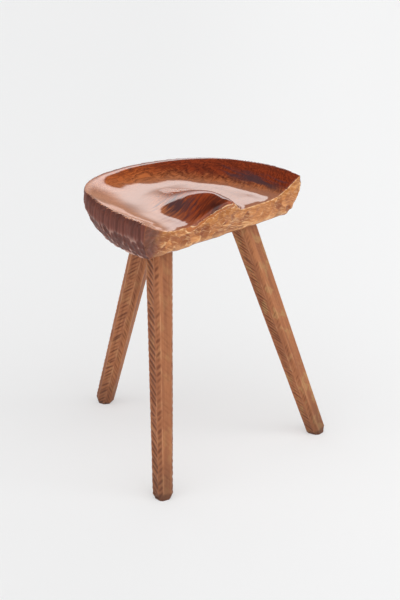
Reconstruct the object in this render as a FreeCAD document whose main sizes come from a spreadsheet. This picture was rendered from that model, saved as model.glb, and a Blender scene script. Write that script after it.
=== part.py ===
import FreeCAD, Part
import Sketcher
import math
import os
from FreeCAD import Vector

# Three-legged stool with a carved saddle seat, in millimetres.
# The origin is on the floor under the middle of the stool, +Z is up, and the sitter faces -Y.
# The seat is one thick plank. Each leg is a squared and tapered billet with its corners taken off,
# and its round tenon is held in a blind socket by a hidden wedge in a sawn kerf.

os.makedirs("parts", exist_ok=True)
doc = FreeCAD.newDocument("SaddleStool")

# Driving sizes of the seat's plank
plank_sizes = {
    "rim_height": 450.0,  # floor to the rim at the seat's two front corners
    "crown_rise": 3.6,  # how far the rim climbs above its corners
    "crown_place": 88.0,  # from the front edge back to the rim's highest line
    "seat_width": 348.0,
    "seat_aside": 3.5,  # from the origin to the plank's own centre line
    "seat_depth": 264.5,  # front edge to the back of the rim
    "widest_line": 43.0,  # from the front edge back to where the seat is widest
    "front_line": 128.0,  # from the origin forward to the front edge
    "seat_thickness": 65.5,  # rim corners down to the flat underside
    "belly_drop": 17.6,  # rim corners down to where the flank swells furthest
    "flank_swell": 2.5,  # how far it swells out there, past the rim
    "front_lean": 13.0,  # how far the front face slopes back by the underside
    "corner_round": 6.0,
}
# Driving sizes of the carved top
carving_sizes = {
    "dish_depth": 23.0,  # rim corners down to the floor of the dish
    "wall_foot": 0.57,  # share of the way out to the rim where the wall starts to climb
    "wall_power": 1.6,  # 1 gives a straight wall, and a higher number a hollow one
    "back_left_dip": 5.0,  # how much deeper the dish is at its back left
    "dip_side": 50.0,  # from the origin to the middle of that dip
    "dip_behind": 60.0,
    "dip_reach": 115.0,
    "thigh_fall": 3.0,  # how much lower the two thigh hollows run out at the front
    "pommel_height": 29.0,
    "pommel_peak": 26.0,  # from the front edge back to the pommel's highest place
    "pommel_run": 150.0,  # from there back to where the pommel dies into the dish
    "pommel_left": 80.0,  # width of the pommel's gentle left side
    "pommel_right": 48.0,  # width of its steep right side
    "nose_reach": 10.0,  # how far the pommel's nose stands ahead of the front face
    "nose_half_width": 62.0,
    "front_roll": 14.0,  # width of the strip where the top rolls over to the front face
    "front_roll_drop": 5.0,
}
# Driving sizes of the legs and of the joints that hold them
leg_sizes = {
    "front_foot_side": 179.0,  # where each leg's axis meets the floor
    "front_foot_ahead": 171.5,
    "back_foot_behind": 173.5,
    "front_socket_side": 91.2,  # where the same axis meets the seat's underside
    "front_socket_ahead": 71.2,
    "back_socket_behind": 46.9,
    "leg_top": 36.5,  # across the flats under the seat
    "leg_foot": 28.5,  # across the flats at the floor
    "front_corner_cut": 6.6,  # taken off each side of a corner
    "back_corner_cut": 8.2,
    "front_left_roll": 31.4,  # degrees that a leg is turned about its own axis
    "front_right_roll": -35.2,
    "back_roll": 20.1,
    "foot_bevel_height": 8.5,
    "foot_bevel_inset": 3.6,
    "tenon_width": 25.0,
    "tenon_length": 27.0,
    "tenon_root": 20.0,  # length of the tenon's cylinder that is buried in the leg
    "socket_gap": 0.1,  # all round the tenon
    "socket_end_gap": 0.8,  # past the tenon's end
    "kerf_depth": 22.0,
    "kerf_mouth": 4.0,  # width of the spread kerf at the tenon's end
    "kerf_root": 1.0,
    "wedge_gap": 0.05,  # between the wedge and each side of its kerf
}
# Sizes of the cutting bodies, which only have to be large enough
tool_sizes = {
    "overrun": 12.0,
    "grid_step": 10.0,  # spacing of the points that a carved face is drawn through
}

sheet = doc.addObject("Spreadsheet::Sheet", "Sizes")
sheet_row = 0
for group in (plank_sizes, carving_sizes, leg_sizes, tool_sizes):
    for alias, value in group.items():
        sheet_row += 1
        sheet.set(f"A{sheet_row}", alias)
        sheet.set(f"B{sheet_row}", str(value))
        sheet.setAlias(f"B{sheet_row}", alias)
doc.recompute()


def size(alias):
    return float(sheet.get(alias))


def bind(item, **expressions):
    for name, expression in expressions.items():
        item.setExpression(name.replace("__", "."), expression)
    return item


def join(kind, name, base, tool):
    result = doc.addObject(kind, name)
    result.Base = base
    result.Tool = tool
    return result


# Expressions that several pieces share
underside = "(Sizes.rim_height - Sizes.seat_thickness)"
half_width = "(Sizes.seat_width / 2)"
back_depth = "(Sizes.seat_depth - Sizes.widest_line)"
widest_y = "(Sizes.widest_line - Sizes.front_line)"
top_of_blank = "(Sizes.rim_height + Sizes.crown_rise + Sizes.overrun)"
flank_bend = "((Sizes.belly_drop ^ 2 + Sizes.flank_swell ^ 2) / (2 * Sizes.flank_swell))"
belly_centre = f"{half_width} + Sizes.flank_swell - {flank_bend}"


# Seat blank: a flank profile is turned about the upright line through the widest place, then
# stretched from front to back
def flank_profile():
    body = doc.addObject("PartDesign::Body", "TurnedBlank")
    sketch = body.newObject("Sketcher::SketchObject", "FlankProfile")
    upright = next(plane for plane in body.Origin.OriginFeatures if plane.Role == "XZ_Plane")
    sketch.AttachmentSupport = (upright, "")
    sketch.MapMode = "FlatFace"
    radius = size("seat_width") / 2
    low = size("rim_height") - size("seat_thickness")
    high = size("rim_height") + size("crown_rise") + size("overrun")
    middle = size("rim_height") - size("belly_drop")
    bend = (size("belly_drop") ** 2 + size("flank_swell") ** 2) / (2 * size("flank_swell"))
    centre = Vector(radius + size("flank_swell") - bend, middle, 0)
    start = math.asin((low - middle) / bend)
    end = math.asin((high - middle) / bend)
    axis_low = Vector(0, low, 0)
    axis_high = Vector(0, high, 0)
    foot = centre + Vector(bend * math.cos(start), low - middle, 0)
    lip = centre + Vector(bend * math.cos(end), high - middle, 0)
    sketch.addGeometry(
        [
            Part.LineSegment(axis_low, foot),
            Part.ArcOfCircle(Part.Circle(centre, Vector(0, 0, 1), bend), start, end),
            Part.LineSegment(lip, axis_high),
            Part.LineSegment(axis_high, axis_low),
        ],
        False,
    )
    floor_line, flank, top_line, axis_line = range(4)
    first, last, centre_point = 1, 2, 3
    root, vertical = -1, -2
    for constraint in (
        ("Coincident", floor_line, last, flank, first),
        ("Coincident", flank, last, top_line, first),
        ("Coincident", top_line, last, axis_line, first),
        ("Coincident", axis_line, last, floor_line, first),
        ("Horizontal", floor_line),
        ("Horizontal", top_line),
        ("PointOnObject", floor_line, first, vertical),
        ("PointOnObject", top_line, last, vertical),
    ):
        sketch.addConstraint(Sketcher.Constraint(*constraint))
    index = sketch.addConstraint(Sketcher.Constraint("Radius", flank, bend))
    sketch.renameConstraint(index, "bend")
    sketch.setExpression("Constraints.bend", flank_bend)
    for name, geometry, point, along, value, expression in (
        ("belly_side", flank, centre_point, "DistanceX", centre.x, belly_centre),
        ("belly", flank, centre_point, "DistanceY", middle, "Sizes.rim_height - Sizes.belly_drop"),
        ("underside", floor_line, first, "DistanceY", low, underside),
        ("top", top_line, last, "DistanceY", high, top_of_blank),
    ):
        index = sketch.addConstraint(Sketcher.Constraint(along, root, first, geometry, point, value))
        sketch.renameConstraint(index, name)
        sketch.setExpression(f"Constraints.{name}", expression)
    turned = body.newObject("PartDesign::Revolution", "TurnedFlank")
    turned.Profile = sketch
    turned.ReferenceAxis = (sketch, ["V_Axis"])
    turned.Angle = 360
    return body


turned_blank = flank_profile()
stretched = doc.addObject("Part::Scale", "StretchedBlank")
stretched.Base = turned_blank
stretched.Uniform = False
bind(stretched, YScale=f"{back_depth} / {half_width}")
bind(stretched, Placement__Base__x="Sizes.seat_aside", Placement__Base__y=widest_y)


# Carved faces: a smooth face is drawn through points of a formula, then thickened into a cutter
def spread(low, high):
    count = max(4, math.ceil((high - low) / size("grid_step")))
    return [low + (high - low) * step / count for step in range(count + 1)]


def carved_face(name, first_values, second_values, place):
    surface = Part.BSplineSurface()
    surface.interpolate([[place(first, second) for second in second_values] for first in first_values])
    face = doc.addObject("Part::Feature", name)
    face.Shape = surface.toShape()
    return face


def thickened(name, face, direction, length):
    cutter = doc.addObject("Part::Extrusion", name)
    cutter.Base = face
    cutter.DirMode = "Custom"
    cutter.Dir = direction
    cutter.Solid = True
    return bind(cutter, LengthFwd=length)


def hump(share):
    return math.cos(math.pi / 2 * min(1, abs(share))) ** 2


def front_face_y(x, z):
    above = (z - size("rim_height") + size("seat_thickness")) / size("seat_thickness")
    bulge = hump((x - size("seat_aside")) / size("nose_half_width")) * min(1, max(0, above))
    return -size("front_line") + size("front_lean") * (1 - above) - size("nose_reach") * bulge


def half_width_at(y):
    ahead = max(0, size("widest_line") - size("front_line") - y)
    return size("seat_width") / 2 * math.sqrt(1 - (ahead / (size("seat_depth") - size("widest_line"))) ** 2)


def top_z(x, y):
    from_dip = math.hypot(x + size("dip_side"), y - size("dip_behind"))
    x -= size("seat_aside")
    from_front = y + size("front_line")
    behind = max(0, from_front - size("widest_line")) / (size("seat_depth") - size("widest_line"))
    outward = math.hypot(x / half_width_at(y), behind)
    wall = (max(0, outward - size("wall_foot")) / (1 - size("wall_foot"))) ** size("wall_power")
    crown = 1 - (from_front / size("crown_place") - 1) ** 2
    rim = size("rim_height") + size("crown_rise") * crown
    fall = size("thigh_fall") * hump(max(0, from_front) / size("widest_line"))
    floor = size("rim_height") - size("dish_depth") - fall
    side = size("pommel_left") if x < 0 else size("pommel_right")
    back = max(0, from_front - size("pommel_peak")) / size("pommel_run")
    pommel = size("pommel_height") * hump(back) * hump(x / side)
    into = (y - front_face_y(x + size("seat_aside"), size("rim_height"))) / size("front_roll")
    roll = size("front_roll_drop") * max(0, 1 - into) ** 2 * max(0, 1 - wall)
    dip = size("back_left_dip") * hump(from_dip / size("dip_reach")) * max(0, 1 - wall)
    return floor + (rim - floor) * wall + pommel - roll - dip


reach_x = size("seat_width") / 2 + size("overrun")
left_x = size("seat_aside") - reach_x
right_x = size("seat_aside") + reach_x
front_y = -size("front_line")
back_y = size("seat_depth") - size("front_line")
low_z = size("rim_height") - size("seat_thickness")
x_values = spread(left_x, right_x)

front_cutter = thickened(
    "FrontWaste",
    carved_face(
        "FrontFace",
        x_values,
        spread(low_z - size("overrun"), size("rim_height") + size("crown_rise") + 2 * size("overrun")),
        lambda x, z: Vector(x, front_face_y(x, z), z),
    ),
    Vector(0, -1, 0),
    "Sizes.seat_depth",
)
top_cutter = thickened(
    "TopWaste",
    carved_face(
        "CarvedTop",
        x_values,
        spread(front_y - size("nose_reach") - size("overrun"), back_y + size("overrun")),
        lambda x, y: Vector(x, y, top_z(x, y)),
    ),
    Vector(0, 0, 1),
    "Sizes.seat_thickness",
)
fronted = join("Part::Cut", "FrontedBlank", stretched, front_cutter)
doc.recompute()

# The two upright corners between the front face and the flank are rounded
rounded = doc.addObject("Part::Fillet", "RoundedCorners")
rounded.Base = fronted
corner_edges = []
for number, edge in enumerate(fronted.Shape.Edges, start=1):
    box = edge.BoundBox
    at_side = abs(box.Center.x) > size("nose_half_width")
    at_front = abs(box.Center.y + size("front_line")) < size("widest_line") / 2
    if at_side and at_front and box.ZLength > max(box.XLength, box.YLength):
        corner_edges.append((number, size("corner_round"), size("corner_round")))
rounded.Edges = corner_edges
carved = join("Part::Cut", "CarvedSeat", rounded, top_cutter)


# One leg in its own frame: the origin is where its axis meets the floor, and it leans towards -Y
class LegPlan:
    def __init__(self, place, foot, socket, corner_cut, roll):
        self.place = place
        self.corner_cut = corner_cut
        self.roll = roll
        run_x = f"({socket[0]} - {foot[0]})"
        run_y = f"({socket[1]} - {foot[1]})"
        self.lean = f"atan(hypot({run_x}; {run_y}) / {underside})"
        self.heading = f"atan2({run_x}; -{run_y})"
        self.shoulder = f"({underside} / cos({self.lean}))"
        turn = f"rotation(vector(0; 0; 1); {self.heading})"
        self.stand = f"placement(vector({foot[0]}; {foot[1]}; 0); {turn})"
        # Turns a piece that lies along Y into the leaning axis
        self.tilt = f"placement(vector(0; 0; 0); rotation(vector(1; 0; 0); 90 deg + {self.lean}))"


leg_plans = [
    LegPlan(
        "front_left",
        ("-Sizes.front_foot_side", "-Sizes.front_foot_ahead"),
        ("-Sizes.front_socket_side", "-Sizes.front_socket_ahead"),
        "Sizes.front_corner_cut",
        "Sizes.front_left_roll",
    ),
    LegPlan(
        "front_right",
        ("Sizes.front_foot_side", "-Sizes.front_foot_ahead"),
        ("Sizes.front_socket_side", "-Sizes.front_socket_ahead"),
        "Sizes.front_corner_cut",
        "Sizes.front_right_roll",
    ),
    LegPlan(
        "back",
        ("0", "Sizes.back_foot_behind"),
        ("0", "Sizes.back_socket_behind"),
        "Sizes.back_corner_cut",
        "Sizes.back_roll",
    ),
]


# A tapered bar that lies along Y. Its half sizes across X and Z are given at both ends.
def tapered_bar(name, ends, half_x, half_z, turn):
    bar = doc.addObject("Part::Wedge", name)
    bind(bar, Ymin=ends[0], Ymax=ends[1])
    bind(bar, Xmin=f"-({half_x[0]})", Xmax=half_x[0], X2min=f"-({half_x[1]})", X2max=half_x[1])
    bind(bar, Zmin=f"-({half_z[0]})", Zmax=half_z[0], Z2min=f"-({half_z[1]})", Z2max=half_z[1])
    return bind(bar, Placement=f"placement(vector(0; 0; 0); rotation(vector(0; 1; 0); {turn}))")


# A cylinder's own axis is Z, so a quarter turn lays it along Y before its frame places it
def tenon_cylinder(name, start, end, radius, frame=""):
    cylinder = doc.addObject("Part::Cylinder", name)
    lay = f"placement(vector(0; {start}; 0); rotation(vector(1; 0; 0); -90))"
    return bind(cylinder, Radius=radius, Height=f"{end} - {start}", Placement=f"{frame}{lay}")


def make_shaft(plan):
    ends = ("-Sizes.overrun", f"{plan.shoulder} + Sizes.overrun")
    bars = []
    for kind, turn in (("Square", "0"), ("Corner", "45")):
        cut = "0" if kind == "Square" else plan.corner_cut
        share = "1" if kind == "Square" else "sqrt(2)"

        def leg_half(along):
            across = f"(Sizes.leg_foot + (Sizes.leg_top - Sizes.leg_foot) * ({along}) / {plan.shoulder})"
            return f"({across} - {cut}) * {share} / 2"

        def point_half(along):
            bevel = f"Sizes.foot_bevel_inset * (1 - ({along}) / Sizes.foot_bevel_height)"
            return f"(Sizes.leg_foot - {cut}) * {share} / 2 - {bevel}"

        for form, half in (("Taper", leg_half), ("Point", point_half)):
            halves = (half(ends[0]), half(ends[1]))
            name = f"{form}{kind}_{plan.place}"
            bars.append(tapered_bar(name, ends, halves, halves, f"{plan.roll} + {turn}"))
    bar = bars[0]
    for step, other in enumerate(bars[1:]):
        bar = join("Part::Common", f"Bar{step}_{plan.place}", bar, other)
    bind(bar, Placement=plan.tilt)
    level = doc.addObject("Part::Box", f"FloorToSeat_{plan.place}")
    bind(level, Length="Sizes.seat_width", Width="Sizes.seat_width", Height=underside)
    bind(level, Placement__Base__x="-Sizes.seat_width / 2", Placement__Base__y="-Sizes.seat_width / 2")
    return join("Part::Common", f"Shaft_{plan.place}", bar, level)


# Kerf and wedge share one taper, drawn from the kerf's root to the tenon's end and past it
def kerf_bar(name, plan, past_end, gap, half_z):
    root = f"({plan.shoulder} + Sizes.tenon_length - Sizes.kerf_depth)"
    growth = "(Sizes.kerf_mouth - Sizes.kerf_root) / Sizes.kerf_depth"
    length = f"(Sizes.kerf_depth + {past_end})"
    half_x = (
        f"Sizes.kerf_root / 2 - {gap}",
        f"(Sizes.kerf_root + {growth} * {length}) / 2 - {gap}",
    )
    # The kerf runs across the seat's grain, from front to back
    return tapered_bar(name, (root, f"{root} + {length}"), half_x, (half_z, half_z), f"-({plan.heading})")


def make_leg(plan):
    shaft = make_shaft(plan)
    tenon_end = f"({plan.shoulder} + Sizes.tenon_length)"
    tenon_start = f"({plan.shoulder} - Sizes.tenon_root)"
    tenon = tenon_cylinder(f"Tenon_{plan.place}", tenon_start, tenon_end, "Sizes.tenon_width / 2")
    kerf = kerf_bar(f"Kerf_{plan.place}", plan, "Sizes.overrun", "0", "Sizes.tenon_width")
    split_tenon = bind(join("Part::Cut", f"SplitTenon_{plan.place}", tenon, kerf), Placement=plan.tilt)
    leg = join("Part::Fuse", f"Leg_{plan.place}", shaft, split_tenon)
    return bind(leg, Placement=plan.stand)


def make_wedge(plan):
    tenon_end = f"({plan.shoulder} + Sizes.tenon_length + Sizes.socket_end_gap)"
    bore = tenon_cylinder(f"WedgeEdge_{plan.place}", plan.shoulder, tenon_end, "Sizes.tenon_width / 2")
    past_end, width = "Sizes.socket_end_gap", "Sizes.tenon_width"
    taper = kerf_bar(f"WedgeTaper_{plan.place}", plan, past_end, "Sizes.wedge_gap", width)
    wedge = join("Part::Common", f"Wedge_{plan.place}", bore, taper)
    return bind(wedge, Placement=f"{plan.stand} * {plan.tilt}")


# Blind sockets are bored up into the underside on each leg's axis
def make_socket(plan):
    start = f"({plan.shoulder} - Sizes.tenon_width / 2 - Sizes.overrun)"
    end = f"({plan.shoulder} + Sizes.tenon_length + Sizes.socket_end_gap)"
    radius = "Sizes.tenon_width / 2 + Sizes.socket_gap"
    return tenon_cylinder(f"Socket_{plan.place}", start, end, radius, f"{plan.stand} * {plan.tilt} * ")


pieces = {}
seat = carved
for leg_plan in leg_plans:
    seat = join("Part::Cut", f"SeatBored_{leg_plan.place}", seat, make_socket(leg_plan))
    pieces[f"leg_{leg_plan.place}"] = make_leg(leg_plan)
    pieces[f"wedge_{leg_plan.place}"] = make_wedge(leg_plan)
pieces["seat"] = seat

doc.recompute()
for node, piece in pieces.items():
    piece.Label = node

for item in doc.Objects:
    bad = [word for word in item.State if word in ("Invalid", "Error")]
    if bad:
        raise RuntimeError(f"{item.Name} did not rebuild: {bad}")
for node, piece in pieces.items():
    if piece.Shape.isNull() or not piece.Shape.isValid() or len(piece.Shape.Solids) != 1:
        raise RuntimeError(f"{node} is not one valid solid")

for node, piece in sorted(pieces.items()):
    piece.Shape.exportStep(f"parts/{node}.step")
    box = piece.Shape.optimalBoundingBox(False, False)
    low = [round(value, 1) for value in (box.XMin, box.YMin, box.ZMin)]
    high = [round(value, 1) for value in (box.XMax, box.YMax, box.ZMax)]
    print(node, "volume", round(piece.Shape.Volume), "from", low, "to", high)
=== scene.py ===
import bmesh
import bpy
import math
import random
from mathutils import Matrix, Vector, noise


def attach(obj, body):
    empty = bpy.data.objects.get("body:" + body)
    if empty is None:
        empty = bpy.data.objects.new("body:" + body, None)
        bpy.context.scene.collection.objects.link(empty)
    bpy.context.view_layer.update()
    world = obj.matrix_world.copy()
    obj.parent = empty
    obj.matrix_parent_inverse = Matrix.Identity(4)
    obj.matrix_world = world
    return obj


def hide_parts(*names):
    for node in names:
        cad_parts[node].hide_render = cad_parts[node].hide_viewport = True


# A three-legged stool with a carved saddle seat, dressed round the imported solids, in metres.
# Tool marks are real geometry: scoops pressed into fine meshes of the seat and the legs.
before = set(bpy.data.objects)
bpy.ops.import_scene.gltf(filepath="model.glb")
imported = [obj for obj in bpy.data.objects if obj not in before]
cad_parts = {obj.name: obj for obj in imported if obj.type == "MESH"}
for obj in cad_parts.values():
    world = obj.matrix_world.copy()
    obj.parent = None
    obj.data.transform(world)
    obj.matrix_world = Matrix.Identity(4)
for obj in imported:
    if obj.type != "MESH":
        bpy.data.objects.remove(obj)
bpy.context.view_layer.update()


# A shader socket that takes part in plain arithmetic
class Wire:
    def __init__(self, finish, socket):
        self.finish = finish
        self.socket = socket

    def math(self, operation, first, second):
        return self.finish.math(operation, first, second)

    def __add__(self, other):
        return self.math("ADD", self, other)

    def __sub__(self, other):
        return self.math("SUBTRACT", self, other)

    def __rsub__(self, other):
        return self.math("SUBTRACT", other, self)

    def __mul__(self, other):
        return self.math("MULTIPLY", self, other)

    def __truediv__(self, other):
        return self.math("DIVIDE", self, other)

    def __pow__(self, other):
        return self.math("POWER", self, other)

    __radd__, __rmul__ = __add__, __mul__


# A material, or the world, whose nodes are all made by one method
class Finish:
    def __init__(self, name, store="materials", shader="Principled BSDF", place="Object"):
        self.made = getattr(bpy.data, store).new(name)
        self.made.use_nodes = True
        self.tree = self.made.node_tree
        self.shader = self.tree.nodes[shader]
        self.place = self.node("TexCoord", output=place)

    def node(self, kind, settings=None, sockets=None, output=0):
        made = self.tree.nodes.new("ShaderNode" + kind)
        for name, value in (settings or {}).items():
            setattr(made, name, value)
        for name, value in (sockets or {}).items():
            self.feed(made.inputs[name], value)
        return Wire(self, made.outputs[output])

    def feed(self, socket, value):
        if isinstance(value, Wire):
            self.tree.links.new(value.socket, socket)
        elif socket.type == "RGBA":
            socket.default_value = (*value, 1.0)
        else:
            socket.default_value = value

    def math(self, operation, first, second=0.0):
        return self.node("Math", {"operation": operation}, {0: first, 1: second})

    def mix(self, share, first, second):
        return self.node("Mix", {"data_type": "RGBA"}, {0: share, 6: first, 7: second}, output=2)

    def attribute(self, name, output="Fac"):
        return self.node("Attribute", {"attribute_name": name}, output=output)

    def axes(self, vector):
        split = self.node("SeparateXYZ", {}, {0: vector}).socket.node
        return [Wire(self, split.outputs[axis]) for axis in "XYZ"]

    # A mask that climbs from 0 at low to its most at high, or falls to 0 where low is the higher one
    def climb(self, wire, low, high, most=1.0):
        if low > high:
            return (1 - self.climb(wire, high, low)) * most
        settings = {"interpolation_type": "SMOOTHSTEP"}
        sockets = {"Value": wire, "From Min": low, "From Max": high, "To Max": most}
        return self.node("MapRange", settings, sockets)

    # Lays a pattern on the piece: its own lengths along X, Y and Z, its turn in degrees and its middle
    def laid(self, vector, lengths, turn=(0, 0, 0), middle=(0, 0, 0)):
        turn = tuple(math.radians(angle) for angle in turn)
        sockets = {"Vector": vector, "Scale": lengths, "Rotation": turn, "Location": middle}
        return self.node("Mapping", {"vector_type": "TEXTURE"}, sockets)

    def grain(self, vector, lengths, turn=(0, 0, 0), detail=3.0, warp=0.0):
        sockets = {"Vector": self.laid(vector, lengths, turn), "Scale": 1.0}
        return self.node("TexNoise", {}, {**sockets, "Detail": detail, "Distortion": warp})

    # A patch that is 1 in its middle and 0 past its edge, which a grain makes ragged
    def patch(self, vector, grain, plan):
        local = self.laid(vector, plan["reach"], (0, 0, plan["turn"]), plan["middle"])
        away = self.node("VectorMath", {"operation": "LENGTH"}, {0: local}, output="Value")
        away = away + (grain - 0.5) * plan["ragged"]
        return self.climb(away, 1.1, 0.15, plan["share"])

    # Fine relief that is too small for the mesh
    def pores(self, height, depth):
        self.set(Normal=self.node("Bump", {}, {"Height": height, "Distance": depth}))

    def set(self, **values):
        for name, value in values.items():
            self.feed(self.shader.inputs[name.replace("_", " ")], value)


# A field of shallow scoops on a flat map. Where scoops meet, the deepest one wins.
class ToolMarks:
    def __init__(self, cell):
        self.cell = cell
        self.cells = {}

    def cellOf(self, value):
        return math.floor(value / self.cell)

    def press(self, u, v, halfWidth, halfLength, depth, turn, tone=0.5):
        mark = (u, v, halfWidth, halfLength, depth, math.cos(turn), math.sin(turn), tone)
        reach = max(halfWidth, halfLength)
        for column in range(self.cellOf(u - reach), self.cellOf(u + reach) + 1):
            for row in range(self.cellOf(v - reach), self.cellOf(v + reach) + 1):
                self.cells.setdefault((column, row), []).append(mark)

    # How deep the marks go at a place, and the tone of the one that goes deepest
    def depthAt(self, u, v):
        deepest = (0.0, 0.5)
        for markU, markV, halfWidth, halfLength, depth, cosine, sine, tone in self.cells.get(
            (self.cellOf(u), self.cellOf(v)), ()
        ):
            across = (cosine * (u - markU) + sine * (v - markV)) / halfWidth
            along = (cosine * (v - markV) - sine * (u - markU)) / halfLength
            deepest = max(deepest, (depth * (1 - across * across - along * along), tone))
        return deepest


def climb(value, low, high):
    share = min(1.0, max(0.0, (value - low) / (high - low)))
    return share * share * (3 - 2 * share)


def addPiece(name, mesh, finish, node):
    mesh.materials.clear()
    mesh.materials.append(finish.made)
    piece = bpy.data.objects.new(name, mesh)
    bpy.context.scene.collection.objects.link(piece)
    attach(piece, "root")
    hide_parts(node)


def meshFrom(bm, name, smooth=True):
    mesh = bpy.data.meshes.new(name)
    bm.to_mesh(mesh)
    bm.free()
    for face in mesh.polygons:
        face.use_smooth = smooth
    return mesh


# Seat
seatSizes = {
    "voxel": 0.00145,  # edge of the fine mesh that the tool marks are pressed into
    "centreX": 0.0035,
    "widestY": -0.085,
    "halfWidth": 0.174,
    "halfDepth": 0.2215,
    "rimHeight": 0.45,
    "crownRise": 0.0036,
    "crownPlace": 0.088,
    "frontLine": -0.128,
    "frontLean": 0.013,
    "underside": 0.3845,
    "underTurn": -0.9995,  # a normal's Z below which a face belongs to the flat underside
    "dishTurn": 0.15,  # a normal's Z above which a place belongs to the dish
    "dishEdge": 0.88,  # share of the way out where the hollows of the dish end
    "evenings": 8,  # rounds of smoothing for the dish and its front edge
    "markCell": 0.008,
    "waviness": 0.00012,
    "waveLength": 0.04,
    "waveTurn": (0.1, 0.4),
}
# Spans in which a place turns into front face, flank or rim: by its normal, its Y or its way out
seatParts = {
    "frontTurn": (0.55, 0.8),
    "frontFrom": (0.1, 0.112),
    "flankTurn": (0.2, 0.6),
    "flankFrom": (0.75, 0.8),
    "rimTurn": (0.0, 0.3),
}
# The pommel's front lip, which is rounded over and keeps the varnish of the top
lipSizes = {
    "span": (-0.085, 0.02),  # X where it starts and ends
    "fades": (0.03, 0.012),  # lengths in which it sets in and ends
    "from": -0.11,  # Y in front of which it lies
    "turn": (0.2, 0.95),  # its normals' Z
    "lean": -0.2,  # its normals' highest Y
    "growth": 4,  # rings of neighbours that are rounded with it
    "evenings": 30,
    "height": 0.0135,  # how far the varnish comes down the front
    "step": 0.003,  # X between the places where the front's upper edge is measured
    "edgeLean": -0.45,  # the highest Y of the front face's normals
}
# The rim is notched by the flutes at the left and rolled over elsewhere
rimSizes = {
    "notched": (-0.145, -0.11),  # X where it changes from notched to rolled
    "notchedFrom": (-0.122, -0.108),  # Y where the notches set in, clear of the front corner
    "notchFrom": 0.955,  # share of the way out that the notches reach in to
    "mouthBelow": 0.011,  # below a notched rim, where the flutes start to open out
    "mouthGain": 1.9,
    "mouthDrop": 0.2,
    "toothDepth": (0.0011, 0.0021),  # how deep a flute has to be to show as a dark tooth
    "toothReach": (0.955, 0.97),
    "plainBand": (0.0015, 0.009),  # below a rolled rim, where the flutes fade in
    "rollFrom": 0.95,  # share of the way out where the rim starts to roll over
    "rollDrop": 0.002,
}
# The right front corner stands up and out a little
cornerRise = {"x": (0.11, 0.17), "y": (0.0, 0.1), "z": (0.4, 0.9), "lift": 0.003, "bulge": 0.0035}
# Broad hollows that the strokes left in the dish. A negative depth is a swell.
dishHollows = [
    {"middle": (0.012, 0.092), "reach": 0.05, "depth": 0.0022},
    {"middle": (-0.045, 0.095), "reach": 0.05, "depth": 0.0024},
    {"middle": (0.065, 0.062), "reach": 0.05, "depth": 0.0028},
    {"middle": (-0.02, 0.035), "reach": 0.055, "depth": -0.0025},
    {"middle": (0.115, -0.075), "reach": 0.05, "depth": 0.0012},
    {"middle": (0.13, -0.1), "reach": 0.045, "depth": 0.003},
    {"middle": (-0.03, -0.105), "reach": 0.05, "depth": 0.0024},
    {"middle": (-0.05, -0.088), "reach": 0.05, "depth": 0.003},
    {"middle": (0.03, -0.13), "reach": 0.022, "depth": 0.002},
    {"middle": (-0.078, 0.082), "reach": 0.05, "depth": 0.002},
]
# Fine strokes of the rasp at the left of the pommel
raspMarks = {
    "middle": (-0.045, -0.085),
    "reach": 0.06,
    "fullest": 0.4,  # share of the reach up to which they are full
    "length": 0.035,
    "width": 0.0075,
    "height": 0.00013,
}
# A pair of numbers under a size's plural is the spread of that size
fluteMarks = {
    "pitch": 0.0074,
    "sways": (-0.14, 0.14),
    "below": 0.011,  # rim down to the middle of a flute
    "stagger": 0.006,
    "staggers": (-0.2, 1),
    "halfWidth": 0.0047,
    "halfWidths": (0.92, 1.12),
    "halfLength": 0.029,
    "halfLengths": (0.7, 1.15),
    "depth": 0.0034,
    "depths": (0.8, 1.15),
    "slant": 0.06,
}
scallopRows = [
    {"below": 0.040, "pitch": 0.0108, "halfWidth": 0.008, "halfLength": 0.0115, "depth": 0.0038},
    {"below": 0.0505, "pitch": 0.0118, "halfWidth": 0.0088, "halfLength": 0.0098, "depth": 0.004},
    {"below": 0.0605, "pitch": 0.0125, "halfWidth": 0.0095, "halfLength": 0.0092, "depth": 0.004},
]
scallopSpreads = {
    "sways": (-0.25, 0.25),
    "drops": (-0.0045, 0.003),
    "sizes": (0.85, 1.2),
    "depths": (0.8, 1.15),
    "turns": (-0.35, 0.35),
}
flankLift = 0.0018  # how far the ridges between the flank's marks stand proud of the solid
frontMarks = {
    "spacing": 0.0108,
    "columns": range(-17, 19),
    "rows": range(-1, 8),
    "sways": (-0.45, 0.45),
    "halfWidth": 0.0078,
    "halfWidths": (0.6, 1.25),
    "halfLength": 0.0135,
    "halfLengths": (0.7, 1.25),
    "depth": 0.0027,
    "depths": (0.5, 1.25),
    "slants": (-1.25, -0.9, -0.6, 0.5, 1.1),  # the ways that the strokes run
    "turns": (-0.3, 0.3),
    "lift": 0.0013,
}
# How the lower front edge is knocked off
frontEdge = {"cut": 0.0036, "cuts": (0.5, 1.3), "facet": 0.011, "facets": 60, "to": -0.09}
# Splinters that lifted out of the front face under the pommel, and deeper strokes where the face
# meets the left flank
splinterMarks = [
    {"low": (0.004, 0.387), "high": (0.058, 0.407), "count": 14, "depth": 0.0028, "turn": math.pi / 2},
    {"low": (-0.157, 0.389), "high": (-0.132, 0.441), "count": 15, "depth": 0.0028, "turn": 0.75},
]
splinterSpreads = {
    "halfWidths": (0.0022, 0.0036),
    "halfLengths": (0.008, 0.014),
    "depths": (0.7, 1.1),
    "turns": (-0.22, 0.22),
}


# Lengths along the rim's outline, from its right end round to there again
def rimArc(sizes, steps=720):
    lengths = [0.0]
    last = None
    for step in range(steps + 1):
        angle = 2 * math.pi * step / steps
        point = Vector((sizes["halfWidth"] * math.cos(angle), sizes["halfDepth"] * math.sin(angle)))
        if last is not None:
            lengths.append(lengths[-1] + (point - last).length)
        last = point
    return lengths


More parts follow.
